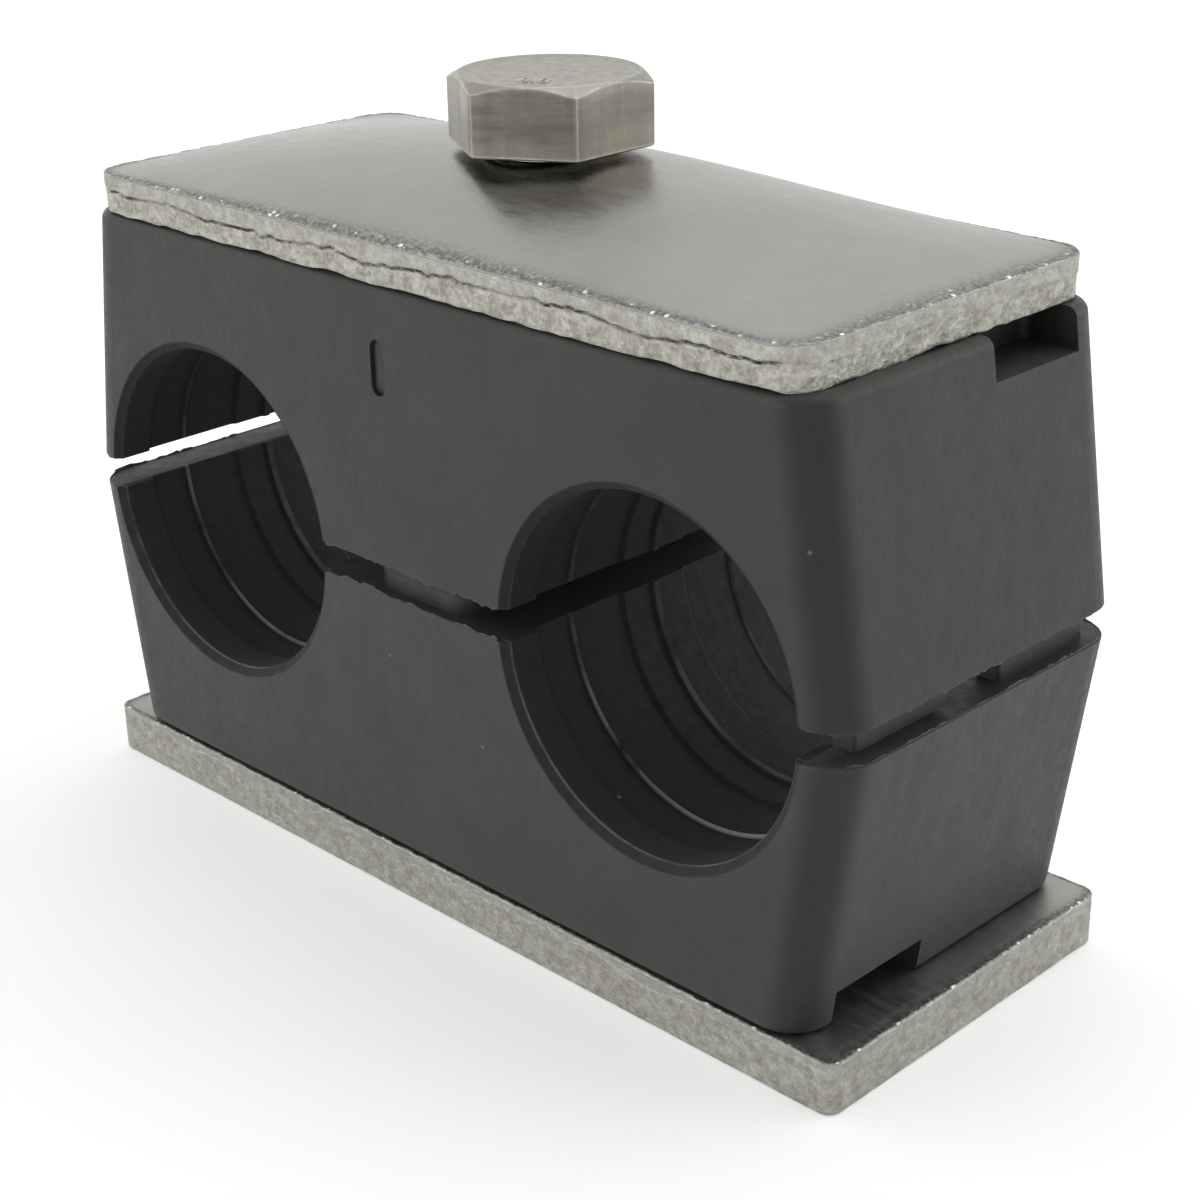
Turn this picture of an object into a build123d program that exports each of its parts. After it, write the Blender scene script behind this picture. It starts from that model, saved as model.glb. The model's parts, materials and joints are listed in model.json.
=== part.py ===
"""Twin tube clamp: weld plate with nut, two identical moulded halves, cover plate and hex bolt."""

from build123d import *
from math import cos, radians, tan
import os

os.makedirs("parts", exist_ok=True)

# Frame: X along the row of the two bores, Y along the tubes, Z up from the floor, millimetres.

# Tubes that the clamp holds
tube_diameter = 25.4
tube_spacing = 45.0
end_wall = 3.8
clamp_width = 30.0

# Weld plate and its nut
weld_plate_overhang = 0.0
weld_plate_thickness = 4.0
weld_plate_corner_radius = 1.6
weld_plate_edge_radius = 0.35
nut_across_flats = 13.0
nut_height = 6.5
nut_chamfer = 0.7
nut_collar_diameter = 11.0
nut_collar_height = 2.5
collar_clearance = 0.05

# Moulded half, the same for lower and upper
half_height = 21.6
parting_relief = 1.2
end_taper = 3.0
corner_radius = 3.2
plate_side_radius = 0.8
bolt_hole_diameter = 9.0
nut_pocket_clearance = 0.4
nut_pocket_headroom = 0.6

# Bore section along the tube: edge chamfer, lands, grip grooves, relieved middle band, fine ridge
bore_chamfer = 0.5
band_relief = 0.25
groove_depth = 0.5
groove_start = 3.4
groove_end = 11.6
groove_flank = 0.35
ridge_half_width = 0.25
ridge_flank = 0.2

# Pads of the middle web, where the two halves meet
pad_length = 10.6
pad_set_back = 1.1
pad_corner_radius = 2.2

# Guide tab beside one bore, and the notch in the plate side below it
tab_inner = 2.6
tab_outer = 12.2
tab_height = 2.0
tab_set_back = 1.2
tab_wall = 0.2
tab_edge_radius = 0.3
notch_inner = 2.5
notch_outer = 11.5
notch_height = 2.8
notch_depth = 4.0
notch_corner_radius = 0.8

# Small vertical slot in one long side
slot_offset = -2.0
slot_width = 1.4
slot_length = 4.0
slot_depth = 0.6
slot_below_plate_side = 5.8

# Cover plate
cover_set_back = 1.0
cover_thickness = 3.0
cover_crown = 4.2
cover_rim_width = 1.5
cover_corner_radius = 4.0
cover_edge_radius = 0.5
cover_hole_diameter = 9.0
crown_grid_steps = 12
crown_grid_margin = 1.0

# Hex bolt
bolt_diameter = 8.0
bolt_engagement = 6.17
head_across_flats = 13.0
head_height = 5.3
head_turn = 30.0
head_chamfer_angle = 30.0
head_flat_margin = 0.15
washer_face_diameter = 11.6
washer_face_height = 0.4
bolt_tip_chamfer = 1.0
bolt_point_height = 1.0
thread_clearance = 0.05

# Derived levels and sizes
plate_top = weld_plate_thickness
mating_plane = plate_top + half_height
cover_bottom = mating_plane + half_height
cover_top = cover_bottom + cover_thickness
half_width = clamp_width / 2
bore_axis = tube_spacing / 2
parting_length = tube_spacing + tube_diameter + 2 * end_wall
weld_plate_length = parting_length + 2 * weld_plate_overhang
plate_side_length = parting_length - 2 * end_taper
cover_length = plate_side_length - 2 * cover_set_back
head_seat = cover_top + cover_crown * (1 - (cover_hole_diameter / cover_length) ** 2)
bolt_length = head_seat - (plate_top + nut_height - bolt_engagement)
parting_level = half_height - parting_relief
land_radius = tube_diameter / 2
band_radius = land_radius + band_relief
groove_radius = land_radius + groove_depth
nut_corner_diameter = nut_across_flats / cos(radians(30))
pocket_diameter = nut_corner_diameter + 2 * nut_pocket_clearance
pocket_depth = nut_height + nut_pocket_headroom
tab_outer_face = parting_length / 2 - tab_set_back
tab_inner_face = bore_axis + groove_radius + tab_wall


with BuildPart() as weld_plate:
    with BuildSketch(Plane.XY):
        RectangleRounded(weld_plate_length, clamp_width, weld_plate_corner_radius)
        Circle(nut_collar_diameter / 2 + collar_clearance, mode=Mode.SUBTRACT)
    extrude(amount=weld_plate_thickness)
    top_face = weld_plate.faces().sort_by(Axis.Z)[-1]
    fillet(top_face.outer_wire().edges(), weld_plate_edge_radius)


with BuildPart() as weld_nut:
    with BuildSketch(Plane.XY.offset(plate_top)):
        RegularPolygon(nut_across_flats / 2, 6, major_radius=False)
    extrude(amount=nut_height)
    # Chamfered crown: the hexagon is trimmed by a cone that leaves the corners lower
    with BuildSketch(Plane.XZ):
        with BuildLine():
            Polyline(
                (0, plate_top),
                (nut_corner_diameter / 2 + 0.1, plate_top),
                (nut_corner_diameter / 2 + 0.1, plate_top + nut_height - nut_chamfer),
                (nut_across_flats / 2 - 0.2, plate_top + nut_height),
                (0, plate_top + nut_height),
                close=True,
            )
        make_face()
    revolve(axis=Axis.Z, mode=Mode.INTERSECT)
    with BuildSketch(Plane.XY.offset(plate_top - nut_collar_height)):
        Circle(nut_collar_diameter / 2)
    extrude(amount=nut_collar_height)
    with BuildSketch(Plane.XY.offset(plate_top - nut_collar_height)):
        Circle(bolt_diameter / 2 + thread_clearance)
    extrude(amount=nut_collar_height + nut_height, mode=Mode.SUBTRACT)


# The moulded half stands on its plate side at Z = 0 and parts at half_height
with BuildPart() as clamp_half:
    # Tapered block, widest at the parting level
    with BuildSketch(Plane.XZ):
        with BuildLine():
            Polyline(
                (-plate_side_length / 2, 0),
                (plate_side_length / 2, 0),
                (parting_length / 2, parting_level),
                (-parting_length / 2, parting_level),
                close=True,
            )
        make_face()
    extrude(amount=half_width, both=True)
    end_faces = clamp_half.faces().sort_by(Axis.X)
    corner_edges = [
        e
        for face in (end_faces[0], end_faces[-1])
        for e in face.edges()
        if abs(e.tangent_at(0.5).Y) < 0.5
    ]
    fillet(corner_edges, corner_radius)
    fillet(clamp_half.faces().sort_by(Axis.Z)[0].edges(), plate_side_radius)

    # Pad of the middle web
    with BuildSketch(Plane.XY.offset(parting_level)):
        RectangleRounded(pad_length, clamp_width - 2 * pad_set_back, pad_corner_radius)
    extrude(amount=parting_relief)

    # Guide tab on the far side of the +X end
    with BuildSketch(Plane.XY.offset(parting_level)):
        with Locations(
            ((tab_inner_face + tab_outer_face) / 2, (tab_inner + tab_outer) / 2)
        ):
            RectangleRounded(
                tab_outer_face - tab_inner_face, tab_outer - tab_inner, tab_edge_radius
            )
    extrude(amount=tab_height)

    # Two tube bores with chamfered mouths, grip grooves and the middle ridge
    for side in (-1, 1):
        with BuildSketch(Plane.XY.offset(half_height)):
            with BuildLine():
                x0 = side * bore_axis
                Polyline(
                    (x0, -half_width - 1),
                    (x0 + land_radius + bore_chamfer + 1, -half_width - 1),
                    (x0 + land_radius, -half_width + bore_chamfer),
                    (x0 + land_radius, -groove_end - groove_flank),
                    (x0 + groove_radius, -groove_end),
                    (x0 + groove_radius, -groove_start),
                    (x0 + band_radius, -groove_start + groove_flank),
                    (x0 + band_radius, -ridge_half_width - ridge_flank),
                    (x0 + land_radius, -ridge_half_width),
                    (x0 + land_radius, ridge_half_width),
                    (x0 + band_radius, ridge_half_width + ridge_flank),
                    (x0 + band_radius, groove_start - groove_flank),
                    (x0 + groove_radius, groove_start),
                    (x0 + groove_radius, groove_end),
                    (x0 + land_radius, groove_end + groove_flank),
                    (x0 + land_radius, half_width - bore_chamfer),
                    (x0 + land_radius + bore_chamfer + 1, half_width + 1),
                    (x0, half_width + 1),
                    close=True,
                )
            make_face()
        revolve(axis=Axis((side * bore_axis, 0, half_height), (0, 1, 0)), mode=Mode.SUBTRACT)

    # Bolt hole and the pocket that clears the nut
    with BuildSketch(Plane.XY):
        Circle(bolt_hole_diameter / 2)
    extrude(amount=half_height, mode=Mode.SUBTRACT)
    with BuildSketch(Plane.XY):
        Circle(pocket_diameter / 2)
    extrude(amount=pocket_depth, mode=Mode.SUBTRACT)

    # Notch in the plate side of the +X end, on the side away from the tab
    with BuildSketch(Plane.XY):
        with Locations((plate_side_length / 2, -(notch_inner + notch_outer) / 2)):
            RectangleRounded(
                2 * notch_depth, notch_outer - notch_inner, notch_corner_radius
            )
    extrude(amount=notch_height, mode=Mode.SUBTRACT)

    # Vertical slot in the far long side
    with BuildSketch(Plane.XZ.offset(-half_width)):
        with Locations((slot_offset, slot_below_plate_side)):
            SlotOverall(slot_length, slot_width, rotation=90)
    extrude(amount=slot_depth, mode=Mode.SUBTRACT)


with BuildPart() as lower_clamp_half:
    add(clamp_half.part.moved(Location((0, 0, plate_top))))


with BuildPart() as upper_clamp_half:
    add(clamp_half.part.moved(Location((0, 0, cover_bottom), (180, 0, 0))))


def crown_face(half_length, half_depth, base, margin):
    """Double-curved face that rises from the base level at the edges to the crown in the middle."""
    steps = range(-crown_grid_steps, crown_grid_steps + 1)
    rows = []
    for i in steps:
        x = i / crown_grid_steps * (half_length + margin)
        across = [j / crown_grid_steps * (half_depth + margin) for j in steps]
        rows.append(
            [
                (x, y, base + cover_crown * (1 - (x / half_length) ** 2) * (1 - (y / half_depth) ** 2))
                for y in across
            ]
        )
    return Face.make_surface_from_array_of_points(rows, tol=0.001, max_deg=6)


with BuildPart() as cover_plate:
    with BuildSketch(Plane.XY.offset(cover_bottom)):
        RectangleRounded(cover_length, clamp_width, cover_corner_radius)
        Circle(cover_hole_diameter / 2, mode=Mode.SUBTRACT)
    extrude(amount=2 * (cover_thickness + cover_crown))
    # Crowned upper side
    upper_side = crown_face(cover_length / 2, half_width, cover_top, crown_grid_margin)
    above = extrude(
        upper_side, amount=3 * (cover_thickness + cover_crown), dir=(0, 0, 1), mode=Mode.PRIVATE
    )
    add(above, mode=Mode.SUBTRACT)
    # Hollow under the crown, inside the flat rim that bears on the moulding
    under_side = crown_face(
        cover_length / 2 - cover_rim_width, half_width - cover_rim_width, cover_bottom, 0
    )
    hollow = extrude(
        under_side, amount=cover_crown + cover_thickness, dir=(0, 0, -1), mode=Mode.PRIVATE
    )
    add(hollow, mode=Mode.SUBTRACT)
    top_face = cover_plate.faces().sort_by(SortBy.AREA)[-1]
    fillet(top_face.outer_wire().edges(), cover_edge_radius)


head_corner_radius = head_across_flats / 2 / cos(radians(30))
head_flat_radius = head_across_flats / 2 - head_flat_margin
chamfer_drop = (head_corner_radius + 0.1 - head_flat_radius) * tan(radians(head_chamfer_angle))

with BuildPart() as hex_bolt:
    with BuildSketch(Plane.XY.offset(head_seat + washer_face_height)):
        RegularPolygon(head_across_flats / 2, 6, major_radius=False, rotation=head_turn)
    extrude(amount=head_height - washer_face_height)
    # Chamfered crown of the head
    with BuildSketch(Plane.XZ):
        with BuildLine():
            Polyline(
                (0, head_seat),
                (head_corner_radius + 0.1, head_seat),
                (head_corner_radius + 0.1, head_seat + head_height - chamfer_drop),
                (head_flat_radius, head_seat + head_height),
                (0, head_seat + head_height),
                close=True,
            )
        make_face()
    revolve(axis=Axis.Z, mode=Mode.INTERSECT)
    with BuildSketch(Plane.XY.offset(head_seat)):
        Circle(washer_face_diameter / 2)
    extrude(amount=washer_face_height)
    # Shank with its tapered point
    with BuildSketch(Plane.XZ):
        with BuildLine():
            Polyline(
                (0, head_seat + washer_face_height),
                (bolt_diameter / 2, head_seat + washer_face_height),
                (bolt_diameter / 2, head_seat - bolt_length + bolt_point_height),
                (bolt_diameter / 2 - bolt_tip_chamfer, head_seat - bolt_length),
                (0, head_seat - bolt_length),
                close=True,
            )
        make_face()
    revolve(axis=Axis.Z)


for name, piece in (
    ("weld_plate", weld_plate),
    ("weld_nut", weld_nut),
    ("lower_clamp_half", lower_clamp_half),
    ("upper_clamp_half", upper_clamp_half),
    ("cover_plate", cover_plate),
    ("hex_bolt", hex_bolt),
):
    piece.part.label = name
    export_step(piece.part, f"parts/{name}.step")
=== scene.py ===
"""Twin tube clamp: steel plates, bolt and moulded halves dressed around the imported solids."""

import json
import math

import bmesh
import bpy
from bpy.props import FloatProperty, FloatVectorProperty, IntProperty, PointerProperty, StringProperty
from mathutils import Matrix, Vector, noise


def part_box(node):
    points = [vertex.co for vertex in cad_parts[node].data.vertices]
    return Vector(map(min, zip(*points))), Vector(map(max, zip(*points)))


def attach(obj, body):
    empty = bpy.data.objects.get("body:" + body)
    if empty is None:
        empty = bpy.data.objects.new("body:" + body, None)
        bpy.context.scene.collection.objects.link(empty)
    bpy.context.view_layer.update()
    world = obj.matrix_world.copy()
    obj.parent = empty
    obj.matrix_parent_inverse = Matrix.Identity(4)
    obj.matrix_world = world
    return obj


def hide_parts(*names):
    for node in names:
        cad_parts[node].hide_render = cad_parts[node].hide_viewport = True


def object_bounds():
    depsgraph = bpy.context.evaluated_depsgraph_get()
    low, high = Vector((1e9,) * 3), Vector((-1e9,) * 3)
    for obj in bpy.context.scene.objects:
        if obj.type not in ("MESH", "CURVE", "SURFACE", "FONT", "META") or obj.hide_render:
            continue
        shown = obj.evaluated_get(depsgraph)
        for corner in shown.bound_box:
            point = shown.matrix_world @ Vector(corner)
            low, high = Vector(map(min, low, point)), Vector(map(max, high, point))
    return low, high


bl_info = {
    "name": "Twin Tube Clamp",
    "version": (1, 0, 0),
    "blender": (4, 5, 0),
    "location": "View3D > Sidebar > Tube Clamp",
    "description": "Builds the plates, bolt, moulded halves and stage of a twin tube clamp",
    "category": "Add Mesh",
}

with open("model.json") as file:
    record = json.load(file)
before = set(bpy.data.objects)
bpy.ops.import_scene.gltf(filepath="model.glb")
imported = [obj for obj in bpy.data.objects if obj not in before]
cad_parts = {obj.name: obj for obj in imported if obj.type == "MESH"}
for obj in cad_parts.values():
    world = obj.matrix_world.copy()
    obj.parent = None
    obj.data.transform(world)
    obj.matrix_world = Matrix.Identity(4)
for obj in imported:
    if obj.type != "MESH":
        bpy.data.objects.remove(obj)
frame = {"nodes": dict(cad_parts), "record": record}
cad_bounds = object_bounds()

SIDEBAR_TAB = "Tube Clamp"
MM = 0.001


# Mesh helpers


def size_of(name):
    """Lowest and highest corner of a solid, and its size."""
    low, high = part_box(name)
    return low, high, high - low


def smoothstep(edge_low, edge_high, value):
    t = min(max((value - edge_low) / (edge_high - edge_low), 0.0), 1.0)
    return t * t * (3 - 2 * t)


def ripple(x, y, z, scale, seed=0.0):
    """Smooth noise between -1 and 1 whose bumps are about the given size across."""
    return noise.noise(Vector((x / scale + seed, y / scale - seed, z / scale + 0.37 * seed)))


def mesh_object(name, vertices, faces, sharp_angle, marks=None):
    """Object from vertices and faces, shaded smooth up to an angle, with float marks per vertex."""
    mesh = bpy.data.meshes.new(name)
    mesh.from_pydata(vertices, [], faces)
    mesh.validate()
    build = bmesh.new()
    build.from_mesh(mesh)
    bmesh.ops.recalc_face_normals(build, faces=build.faces)
    build.to_mesh(mesh)
    build.free()
    for mark, values in (marks or {}).items():
        layer = mesh.attributes.new(mark, "FLOAT", "POINT")
        layer.data.foreach_set("value", values)
    mesh.shade_smooth()
    mesh.set_sharp_from_angle(angle=math.radians(sharp_angle))
    piece = bpy.data.objects.new(name, mesh)
    bpy.context.scene.collection.objects.link(piece)
    return piece


def rounded_outline(half_x, half_y, radius, spacing):
    """Points round a rounded rectangle with outward normals: (x, y, normal x, normal y)."""
    points = []
    corners = ((1, 1, 0), (-1, 1, 90), (-1, -1, 180), (1, -1, 270))
    arc_steps = max(6, round(radius * math.pi / 2 / spacing))
    for index, (side_x, side_y, start) in enumerate(corners):
        centre_x, centre_y = side_x * (half_x - radius), side_y * (half_y - radius)
        for step in range(arc_steps + 1):
            angle = math.radians(start + 90 * step / arc_steps)
            nx, ny = math.cos(angle), math.sin(angle)
            points.append((centre_x + radius * nx, centre_y + radius * ny, nx, ny))
        next_x, next_y, _ = corners[(index + 1) % 4]
        end_angle = math.radians(start + 90)
        nx, ny = math.cos(end_angle), math.sin(end_angle)
        ax, ay = centre_x + radius * nx, centre_y + radius * ny
        bx = next_x * (half_x - radius) + radius * nx
        by = next_y * (half_y - radius) + radius * ny
        straight_steps = max(2, round(math.hypot(bx - ax, by - ay) / spacing))
        for step in range(1, straight_steps):
            t = step / straight_steps
            points.append((ax + (bx - ax) * t, ay + (by - ay) * t, nx, ny))
    return points


def sheared_sheet(name, outline, hole_radius, bottom, thickness, top_rise, under_rise, cut):
    """Sheet with a hole and sheared sides, as one closed skin swept round its outline.

    top_rise and under_rise give the height over the flat levels at a point. cut holds the sizes of
    the sheared side: broken_share of the height broke rough, break_depth and break_grain deep, with
    a torn line crack_depth deep over it and drag marks above that. foot and ragged shape its lower
    edge, roll and burr its upper one, and band is the width of the burred margin on top.
    """
    top = bottom + thickness
    roll = cut["roll"]
    side_steps, roll_steps, flat_rings, wall_steps = 26, 4, 24, 4
    vertices, marks = [], {"sheared": [], "burred": [], "torn_line": []}

    def put(x, y, z, sheared=0.0, burred=0.0, torn=0.0):
        vertices.append((x, y, z))
        marks["sheared"].append(sheared)
        marks["burred"].append(burred)
        marks["torn_line"].append(torn)

    for x, y, nx, ny in outline:
        reach = math.hypot(x, y)
        hole_x, hole_y = hole_radius * x / reach, hole_radius * y / reach
        lump = ripple(x, y, 0, 4.5 * MM, 7.7) + 0.6 * ripple(x, y, 0, 1.3 * MM, 1.9)
        lift = cut["ragged"] * max(0.0, 0.35 + lump)
        # Underside, from the hole out to the foot of the side
        foot_x, foot_y = x - nx * cut["foot"], y - ny * cut["foot"]
        for step in range(flat_rings):
            t = step / flat_rings
            px, py = hole_x + (foot_x - hole_x) * t, hole_y + (foot_y - hole_y) * t
            put(px, py, bottom + under_rise(px, py))
        put(foot_x, foot_y, bottom + lift, 1.0)
        # Side: rough break below, a torn line, then the burnished band
        wander = 0.16 * ripple(x, y, 0, 6.0 * MM, 3.1) + 0.09 * ripple(x, y, 0, 1.1 * MM, 8.3)
        line = thickness * (cut["broken_share"] + wander)
        strength = cut["torn"] * smoothstep(-0.60, -0.10, ripple(x, y, 0, 9.0 * MM, 2.2))
        strength *= smoothstep(0.80, 1.0, abs(ny))
        side_height = thickness - roll
        for step in range(1, side_steps + 1):
            z = lift + (side_height - lift) * step / side_steps
            rough = 1 - smoothstep(line - 0.08 * MM, line + 0.05 * MM, z)
            crack = strength * math.exp(-(((z - line) / (0.085 * MM)) ** 2))
            grain = 0.5 + 0.5 * ripple(x, y, z, 0.5 * MM, 1.7) + 0.3 * ripple(x, y, z, 1.5 * MM, 5.2)
            depth = rough * (cut["break_depth"] + cut["break_grain"] * grain)
            depth += crack * cut["crack_depth"]
            depth += (1 - rough) * cut["drag"] * (0.5 + 0.5 * ripple(x, y, z / 5, 0.35 * MM, 4.4))
            depth = max(depth, 0.0)
            put(x - nx * depth, y - ny * depth, bottom + z, 0.72 + 0.28 * rough, 0.0, crack)
        # Rolled upper edge
        for step in range(1, roll_steps + 1):
            turn = math.radians(90 * step / roll_steps)
            inset = roll * (1 - math.cos(turn))
            px, py = x - nx * inset, y - ny * inset
            burr = cut["burr"] * max(0.0, ripple(x, y, 0, 0.45 * MM, 6.6)) * math.sin(turn)
            rise = top_rise(px, py) * math.sin(turn)
            put(px, py, top - roll * (1 - math.sin(turn)) + rise - burr, 0.0, math.sin(turn))
        # Upper side, back to the hole
        edge_x, edge_y = x - nx * roll, y - ny * roll
        for step in range(1, flat_rings + 1):
            t = (step / flat_rings) ** 1.6
            px, py = edge_x + (hole_x - edge_x) * t, edge_y + (hole_y - edge_y) * t
            inside = math.hypot(px - edge_x, py - edge_y)
            band = math.exp(-((inside / cut["band"]) ** 2))
            dip = cut["burr"] * band * (0.5 + 0.5 * ripple(px, py, 0, 0.4 * MM, 2.9))
            put(px, py, top + top_rise(px, py) - dip, 0.0, band)
        # Wall of the hole
        wall_top = top + top_rise(hole_x, hole_y)
        wall_foot = bottom + under_rise(hole_x, hole_y)
        for step in range(1, wall_steps):
            put(hole_x, hole_y, wall_top + (wall_foot - wall_top) * step / wall_steps, 0.8)
    rows, columns = len(outline), len(vertices) // len(outline)
    faces = []
    for i in range(rows):
        here, there = i * columns, (i + 1) % rows * columns
        for j in range(columns):
            k = (j + 1) % columns
            faces.append((here + j, there + j, there + k, here + k))
    return mesh_object(name, vertices, faces, 42, marks)


# Node helpers


FLOAT, VECTOR = "NodeSocketFloat", "NodeSocketVector"


def add_node(tree, kind, inputs=None, **settings):
    """Node of a kind with its settings and inputs, where an input is a value or another socket."""
    made = tree.nodes.new(kind)
    for key, value in settings.items():
        setattr(made, key, value)
    for key, value in (inputs or {}).items():
        if isinstance(value, bpy.types.NodeSocket):
            tree.links.new(value, made.inputs[key])
        else:
            made.inputs[key].default_value = value
    return made


def math_node(tree, operation, first, second=0.0, clamp=False):
    inputs = {0: first, 1: second}
    return add_node(tree, "ShaderNodeMath", inputs, operation=operation, use_clamp=clamp).outputs[0]


def vector_node(tree, operation, *vectors):
    """Outputs of a Vector Math node: a vector, and a value for lengths and dot products."""
    inputs = dict(enumerate(vectors))
    return add_node(tree, "ShaderNodeVectorMath", inputs, operation=operation).outputs


def noise_node(tree, place, scale, detail, **more):
    inputs = {"Vector": place, "Scale": scale, "Detail": detail, **more}
    return add_node(tree, "ShaderNodeTexNoise", inputs).outputs["Fac"]


def object_place(tree):
    """Place on the piece, in metres."""
    return add_node(tree, "ShaderNodeTexCoord").outputs["Object"]


def mark_value(tree, mark):
    """Float mark that the mesh carries at its vertices."""
    return add_node(tree, "ShaderNodeAttribute", attribute_name=mark).outputs["Fac"]


def remap(tree, value, low, high, to_low=0.0, to_high=1.0):
    inputs = {"Value": value, "From Min": low, "From Max": high, "To Min": to_low, "To Max": to_high}
    return add_node(tree, "ShaderNodeMapRange", inputs).outputs[0]


def distance_from(tree, value, centre):
    return math_node(tree, "ABSOLUTE", math_node(tree, "SUBTRACT", value, centre))


def blend_colours(tree, mask, first, second):
    made = tree.nodes.new("ShaderNodeMix")
    made.data_type = "RGBA"
    for index, value in ((0, mask), (6, first), (7, second)):
        if isinstance(value, bpy.types.NodeSocket):
            tree.links.new(value, made.inputs[index])
        elif index == 0:
            made.inputs[index].default_value = value
        else:
            made.inputs[index].default_value = (*value[:3], 1.0)
    return made.outputs[2]


def tinted(tree, colour, mask, share, toward, clamp=False):
    """Colour drawn toward another by a share of a mask."""
    return blend_colours(tree, math_node(tree, "MULTIPLY", mask, share, clamp), colour, toward)


def new_effect(name, inputs, outputs):
    """Empty effect group with named sockets, its given values and its result node."""
    group = bpy.data.node_groups.new(name, "ShaderNodeTree")
    for label, kind, value in inputs:
        socket = group.interface.new_socket(label, in_out="INPUT", socket_type=kind)
        socket.default_value = value
    for label in outputs:
        group.interface.new_socket(label, in_out="OUTPUT", socket_type=FLOAT)
    return group, add_node(group, "NodeGroupInput").outputs, add_node(group, "NodeGroupOutput")


def edge_wear_and_highlight_effect():
    """Mask of edges, partly wear and partly a painted highlight: where the rounded normal leaves the
    true one, broken up by noise.
    """
    group, given, result = new_effect(
        "Edge Wear And Highlight",
        [
            ("Width", FLOAT, 0.0003),
            ("Gain", FLOAT, 4.0),
            ("Patch Scale", FLOAT, 900.0),
            ("Patchiness", FLOAT, 0.6),
        ],
        ["Mask"],
    )
    rounded = add_node(group, "ShaderNodeBevel", {"Radius": given["Width"]}, samples=6).outputs[0]
    surface = add_node(group, "ShaderNodeNewGeometry").outputs["Normal"]
    facing = vector_node(group, "DOT_PRODUCT", rounded, surface)["Value"]
    turned = math_node(group, "SUBTRACT", 1.0, facing)
    edge = math_node(group, "MULTIPLY", turned, given["Gain"], True)
    patches = noise_node(group, object_place(group), given["Patch Scale"], 4.0)
    broken = math_node(group, "MULTIPLY", remap(group, patches, 0.35, 0.65), given["Patchiness"])
    kept = math_node(group, "SUBTRACT", 1.0, broken)
    group.links.new(math_node(group, "MULTIPLY", edge, kept, True), result.inputs["Mask"])
    return group


def grain_effect():
    """Stretched noise in metres: a height and a mask for rolled, drawn or moulded skins."""
    group, given, result = new_effect(
        "Grain",
        [
            ("Stretch", VECTOR, (1.0, 1.0, 1.0)),
            ("Scale", FLOAT, 2500.0),
            ("Detail", FLOAT, 5.0),
            ("Contrast", FLOAT, 0.3),
        ],
        ["Height", "Mask"],
    )
    stretched = vector_node(group, "MULTIPLY", object_place(group), given["Stretch"])[0]
    grain = noise_node(group, stretched, given["Scale"], given["Detail"], Roughness=0.6)
    low = math_node(group, "SUBTRACT", 0.5, given["Contrast"])
    high = math_node(group, "ADD", 0.5, given["Contrast"])
    group.links.new(grain, result.inputs["Height"])
    group.links.new(remap(group, grain, low, high), result.inputs["Mask"])
    return group


def specks_effect():
    """Scattered small round marks: a share of the cells of a grid gets one."""
    group, given, result = new_effect(
        "Specks",
        [("Scale", FLOAT, 1500.0), ("Share", FLOAT, 0.1), ("Size", FLOAT, 0.25)],
        ["Mask"],
    )
    grid = {"Vector": object_place(group), "Scale": given["Scale"]}
    cells = add_node(group, "ShaderNodeTexVoronoi", grid).outputs
    away = math_node(group, "DIVIDE", cells["Distance"], given["Size"])
    near = math_node(group, "SUBTRACT", 1.0, away, True)
    chance = add_node(group, "ShaderNodeSeparateColor", {0: cells["Color"]}).outputs[0]
    chosen = math_node(group, "LESS_THAN", chance, given["Share"])
    sharp = math_node(group, "MULTIPLY", near, 2.5, True)
    group.links.new(math_node(group, "MULTIPLY", sharp, chosen), result.inputs["Mask"])
    return group


def hairlines_effect():
    """Fine straight scratches along a direction, gathered in patches."""
    group, given, result = new_effect(
        "Hairlines",
        [("Turn", FLOAT, 0.3), ("Scale", FLOAT, 1800.0), ("Amount", FLOAT, 0.5)],
        ["Mask"],
    )
    place = object_place(group)
    turn = {"Vector": place, "Angle": given["Turn"]}
    turned = add_node(group, "ShaderNodeVectorRotate", turn, rotation_type="Z_AXIS").outputs[0]
    drawn = vector_node(group, "MULTIPLY", turned, (0.03, 1.0, 0.6))[0]
    thin = remap(group, noise_node(group, drawn, given["Scale"], 3.0), 0.62, 0.70)
    gathered = remap(group, noise_node(group, place, 90.0, 2.0), 0.45, 0.65)
    amount = math_node(group, "MULTIPLY", gathered, given["Amount"])
    group.links.new(math_node(group, "MULTIPLY", thin, amount, True), result.inputs["Mask"])
    return group


EFFECT_MAKERS = {
    "Edge Wear And Highlight": edge_wear_and_highlight_effect,
    "Grain": grain_effect,
    "Specks": specks_effect,
    "Hairlines": hairlines_effect,
}
EFFECTS = {}


def effect(tree, name, **values):
    """Outputs of a shared effect group, placed in a material with its own values."""
    if name not in EFFECTS:
        EFFECTS[name] = EFFECT_MAKERS[name]()
    made = tree.nodes.new("ShaderNodeGroup")
    made.node_tree = EFFECTS[name]
    for key, value in values.items():
        made.inputs[key.replace("_", " ").title()].default_value = value
    return made.outputs


def new_material(name):
    """Material with a bare shader, its tree and the shader."""
    material = bpy.data.materials.new(name)
    material.use_nodes = True
    tree = material.node_tree
    tree.nodes.clear()
    shader = add_node(tree, "ShaderNodeBsdfPrincipled")
    output = add_node(tree, "ShaderNodeOutputMaterial", {"Surface": shader.outputs[0]})
    output.is_active_output = True
    return material, tree, shader


def bumped(tree, layers):
    """Normal after several bumps: (height socket, strength, distance in metres)."""
    normal = None
    for height, strength, distance in layers:
        inputs = {"Height": height, "Strength": strength, "Distance": distance}
        if normal is not None:
            inputs["Normal"] = normal
        normal = add_node(tree, "ShaderNodeBump", inputs).outputs[0]
    return normal


def set_material(obj, material):
    obj.data.materials.clear()
    obj.data.materials.append(material)


# Materials


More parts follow.
